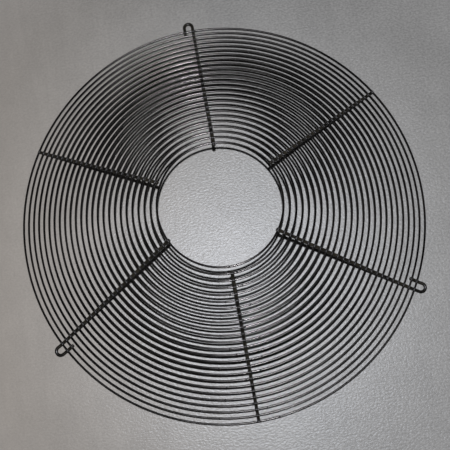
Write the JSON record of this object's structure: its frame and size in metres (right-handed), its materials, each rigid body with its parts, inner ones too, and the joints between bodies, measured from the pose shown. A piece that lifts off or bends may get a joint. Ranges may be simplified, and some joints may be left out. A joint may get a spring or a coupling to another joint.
{
  "type": "wire fan guard",
  "caption": "Round wire guard for a fan: concentric wire rings welded on sloping spokes as a shallow open cone, with hairpin eyelets outside the rim for fixing screws.",
  "frame": {"origin": "on the fan axis, in the mounting plane that the fixing eyelets rest on", "axes": "+Z along the fan axis, from the mounting plane to the open centre; +Y towards the first fixing eyelet"},
  "size_m": [0.5024, 0.5166, 0.0939],
  "materials": {
    "wire_coating": "gloss black coating over steel wire"
  },
  "bodies": {
    "root": {"ring_01": "wire_coating", "ring_02": "wire_coating", "ring_03": "wire_coating", "ring_04": "wire_coating", "ring_05": "wire_coating", "ring_06": "wire_coating", "ring_07": "wire_coating", "ring_08": "wire_coating", "ring_09": "wire_coating", "ring_10": "wire_coating", "ring_11": "wire_coating", "ring_12": "wire_coating", "ring_13": "wire_coating", "ring_14": "wire_coating", "ring_15": "wire_coating", "ring_16": "wire_coating", "ring_17": "wire_coating", "ring_18": "wire_coating", "ring_19": "wire_coating", "ring_20": "wire_coating", "ring_21": "wire_coating", "ring_22": "wire_coating", "ring_23": "wire_coating", "ring_24": "wire_coating", "ring_25": "wire_coating", "eyelet_spoke_a": "wire_coating", "eyelet_spoke_b": "wire_coating", "eyelet_spoke_c": "wire_coating", "plain_spoke_a": "wire_coating", "plain_spoke_b": "wire_coating", "plain_spoke_c": "wire_coating"}
  },
  "joints": []
}
